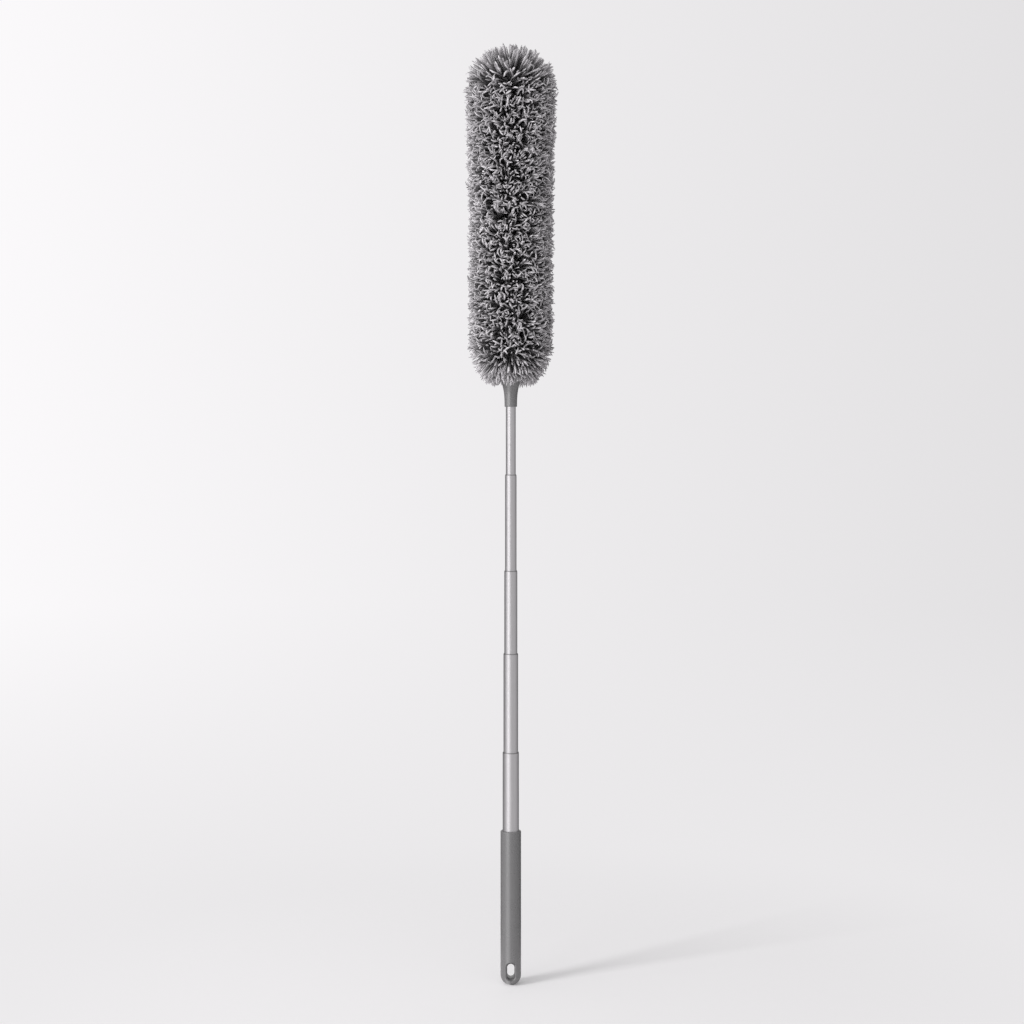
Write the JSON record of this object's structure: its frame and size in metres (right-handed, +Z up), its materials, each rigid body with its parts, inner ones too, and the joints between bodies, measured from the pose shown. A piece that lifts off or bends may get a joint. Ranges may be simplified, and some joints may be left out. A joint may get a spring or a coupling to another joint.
{
  "type": "extendable duster",
  "caption": "Telescopic steel pole in a slotted moulded grip, with a washable microfibre pile head that slips off its foam core.",
  "frame": {"origin": "centre of the flat face on the grip's butt", "axes": "+Z up the pole to the head; the hanging slot runs along Y and the picture looks along +Y"},
  "size_m": [0.1097, 0.1096, 1.0977],
  "materials": {
    "grip_plastic": "fine satin moulded grey plastic",
    "inner_plastic": "plain dark moulded plastic",
    "tube_steel": "drawn and polished stainless tube",
    "shell_brass": "rolled spring brass",
    "core_foam": "open-cell foam",
    "microfibre_pile": "long tufted microfibre pile on a knitted backing",
    "hem_elastic": "covered flat elastic"
  },
  "bodies": {
    "handle": {"grip": "grip_plastic", "tube_end_plug": "inner_plastic", "outer_tube": "tube_steel"},
    "second_shells": {"second_shell_front": "shell_brass", "second_shell_back": "shell_brass"},
    "second_stage": {"second_tube": "tube_steel"},
    "third_shells": {"third_shell_front": "shell_brass", "third_shell_back": "shell_brass"},
    "third_stage": {"third_tube": "tube_steel"},
    "fourth_shells": {"fourth_shell_front": "shell_brass", "fourth_shell_back": "shell_brass"},
    "fourth_stage": {"fourth_tube": "tube_steel"},
    "tip_shells": {"tip_shell_front": "shell_brass", "tip_shell_back": "shell_brass"},
    "head": {"tip_tube": "tube_steel", "neck": "grip_plastic", "core_foam": "core_foam", "core_spine": "inner_plastic", "tip_cap": "inner_plastic"},
    "cover": {"microfiber_cover": "microfibre_pile", "hem_elastic": "hem_elastic"}
  },
  "joints": [
    {"name": "second_slide", "type": "slide", "parent": "handle", "child": "second_shells", "axis": [0, 0, 1], "range_m": [-0.109, 0.0868]},
    {"name": "second_turn", "type": "hinge", "parent": "second_shells", "child": "second_stage", "pos_m": [0, 0, 0.168], "axis": [0, 0, 1], "continuous": true},
    {"name": "third_slide", "type": "slide", "parent": "second_stage", "child": "third_shells", "axis": [0, 0, 1], "range_m": [-0.0905, 0.1113]},
    {"name": "third_turn", "type": "hinge", "parent": "third_shells", "child": "third_stage", "pos_m": [0, 0, 0.2587], "axis": [0, 0, 1], "continuous": true},
    {"name": "fourth_slide", "type": "slide", "parent": "third_stage", "child": "fourth_shells", "axis": [0, 0, 1], "range_m": [-0.106, 0.1018]},
    {"name": "fourth_turn", "type": "hinge", "parent": "fourth_shells", "child": "fourth_stage", "pos_m": [0, 0, 0.3647], "axis": [0, 0, 1], "continuous": true},
    {"name": "tip_slide", "type": "slide", "parent": "fourth_stage", "child": "tip_shells", "axis": [0, 0, 1], "range_m": [-0.073, 0.1408]},
    {"name": "tip_turn", "type": "hinge", "parent": "tip_shells", "child": "head", "pos_m": [0, 0, 0.4377], "axis": [0, 0, 1], "continuous": true},
    {"name": "cover_off", "type": "slide", "parent": "head", "child": "cover", "axis": [0, 0, 1], "range_m": [0, 0.345]}
  ]
}
